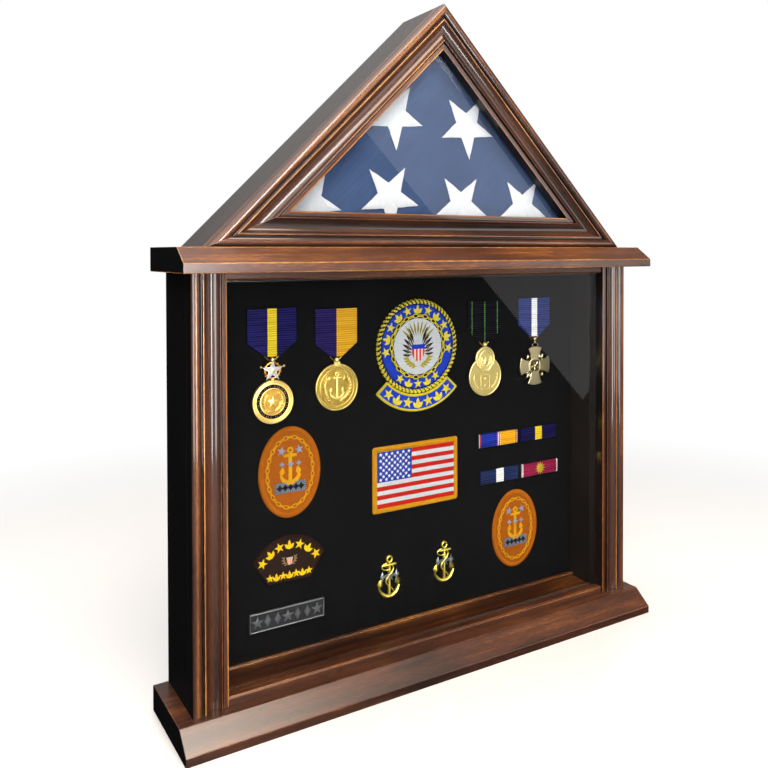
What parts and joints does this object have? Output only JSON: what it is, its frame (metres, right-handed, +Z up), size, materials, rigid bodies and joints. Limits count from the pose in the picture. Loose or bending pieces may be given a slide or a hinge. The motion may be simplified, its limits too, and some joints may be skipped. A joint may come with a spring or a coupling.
{
  "type": "folded flag display case",
  "caption": "Triangular case for a folded flag on a glazed wooden cabinet for medals, patches and pins; bevelled base and cap, backs held by turn buttons.",
  "frame": {"origin": "middle of the footprint, on the surface that the case stands on", "axes": "+Z up, front glass towards -Y, +X to the right as seen from the front"},
  "size_m": [0.443, 0.088, 0.546],
  "materials": {
    "walnut_front": "walnut stain under satin lacquer, lighter where the edges are rubbed through",
    "walnut_side": "very dark walnut stain under satin lacquer",
    "window_glass": "clear float glass",
    "black_felt": "short pressed felt",
    "hardboard": "smooth brown hardboard",
    "flag_cotton": "plain woven cotton with satin stitched stars",
    "ribbon_weave": "ribbed moire ribbon",
    "blue_embroidery": "close stitched thread on twill",
    "orange_embroidery": "close stitched thread on twill",
    "flag_embroidery": "close stitched thread",
    "brown_embroidery": "close stitched thread on twill",
    "gold_metal": "struck metal, gilt",
    "pale_gold_metal": "struck metal, matt gilt",
    "bronze_metal": "struck metal, darkened in the recesses",
    "pewter_plate": "dark grey, raised parts rubbed lighter",
    "brass_hardware": "brass plated steel",
    "zinc_screw": "zinc plated steel",
    "dowel_beech": "plain beech"
  },
  "bodies": {
    "case": {"base_board": "walnut_front", "cap_board": "walnut_front", "left_side_board": "walnut_side", "right_side_board": "walnut_side", "left_stile": "walnut_front", "right_stile": "walnut_front", "top_rail": "walnut_front", "bottom_rail": "walnut_front", "display_glass": "window_glass", "left_spacer": "walnut_side", "right_spacer": "walnut_side", "top_spacer": "walnut_side", "inner_floor": "walnut_front", "floor_bead": "walnut_front", "roof_left_board": "walnut_side", "roof_right_board": "walnut_side", "flag_case_floor": "walnut_side", "flag_frame_left": "walnut_front", "flag_frame_right": "walnut_front", "flag_frame_bottom": "walnut_front", "flag_glass": "window_glass", "flag_glass_stops": "walnut_side", "folded_flag": "flag_cotton", "turn_button_screws": "brass_hardware", "base_screws": "zinc_screw", "cap_dowels": "dowel_beech", "flag_case_screws": "zinc_screw"},
    "display_back": {"display_board": "black_felt", "back_panel": "hardboard", "award_pins": "zinc_screw", "medal_ribbon_1": "ribbon_weave", "medal_ribbon_2": "ribbon_weave", "medal_ribbon_3": "ribbon_weave", "medal_ribbon_4": "ribbon_weave", "medal_hangers": "gold_metal", "round_patch": "blue_embroidery", "rocker_patch": "blue_embroidery", "oval_patch_left": "orange_embroidery", "oval_patch_right": "orange_embroidery", "flag_patch": "flag_embroidery", "dome_patch": "brown_embroidery", "ribbon_bar_1": "ribbon_weave", "ribbon_bar_2": "ribbon_weave", "ribbon_bar_3": "ribbon_weave", "ribbon_bar_4": "ribbon_weave", "name_plate": "pewter_plate", "anchor_pin_left": "gold_metal", "anchor_pin_right": "gold_metal"},
    "flag_back": {"flag_back_panel": "hardboard"},
    "pendant_1": {"medal_pendant_1": "gold_metal"},
    "pendant_2": {"medal_pendant_2": "gold_metal"},
    "pendant_3": {"medal_pendant_3": "pale_gold_metal"},
    "pendant_4": {"medal_pendant_4": "bronze_metal"},
    "button_1": {"turn_button_1": "brass_hardware"},
    "button_2": {"turn_button_2": "brass_hardware"},
    "button_3": {"turn_button_3": "brass_hardware"},
    "button_4": {"turn_button_4": "brass_hardware"},
    "button_5": {"turn_button_5": "brass_hardware"},
    "button_6": {"turn_button_6": "brass_hardware"},
    "button_7": {"turn_button_7": "brass_hardware"}
  },
  "joints": [
    {"name": "display_back_slide", "type": "slide", "parent": "case", "child": "display_back", "axis": [0, 1, 0], "range_m": [0, 0.09]},
    {"name": "flag_back_slide", "type": "slide", "parent": "case", "child": "flag_back", "axis": [0, 1, 0], "range_m": [0, 0.06]},
    {"name": "pendant_1_swing", "type": "hinge", "parent": "display_back", "child": "pendant_1", "pos_m": [-0.1315, 0.0235, 0.2585], "axis": [0, 1, 0], "range_deg": [-10, 10]},
    {"name": "pendant_2_swing", "type": "hinge", "parent": "display_back", "child": "pendant_2", "pos_m": [-0.075, 0.0235, 0.2545], "axis": [0, 1, 0], "range_deg": [-10, 10]},
    {"name": "pendant_3_swing", "type": "hinge", "parent": "display_back", "child": "pendant_3", "pos_m": [0.0775, 0.0235, 0.2575], "axis": [0, 1, 0], "range_deg": [-10, 10]},
    {"name": "pendant_4_swing", "type": "hinge", "parent": "display_back", "child": "pendant_4", "pos_m": [0.137, 0.0235, 0.2595], "axis": [0, 1, 0], "range_deg": [-10, 10]},
    {"name": "button_1_turn", "type": "hinge", "parent": "case", "child": "button_1", "pos_m": [-0.201, 0.0411, 0.269], "axis": [0, -1, 0], "range_deg": [0, 90]},
    {"name": "button_2_turn", "type": "hinge", "parent": "case", "child": "button_2", "pos_m": [0.201, 0.0411, 0.269], "axis": [0, 1, 0], "range_deg": [0, 90]},
    {"name": "button_3_turn", "type": "hinge", "parent": "case", "child": "button_3", "pos_m": [-0.201, 0.0411, 0.079], "axis": [0, -1, 0], "range_deg": [0, 90]},
    {"name": "button_4_turn", "type": "hinge", "parent": "case", "child": "button_4", "pos_m": [0.201, 0.0411, 0.079], "axis": [0, 1, 0], "range_deg": [0, 90]},
    {"name": "button_5_turn", "type": "hinge", "parent": "case", "child": "button_5", "pos_m": [-0.09526, 0.0411, 0.44226], "axis": [0, -1, 0], "range_deg": [0, 90]},
    {"name": "button_6_turn", "type": "hinge", "parent": "case", "child": "button_6", "pos_m": [0.09526, 0.0411, 0.44226], "axis": [0, 1, 0], "range_deg": [0, 90]},
    {"name": "button_7_turn", "type": "hinge", "parent": "case", "child": "button_7", "pos_m": [0, 0.0411, 0.353], "axis": [0, -1, 0], "range_deg": [0, 90]}
  ]
}
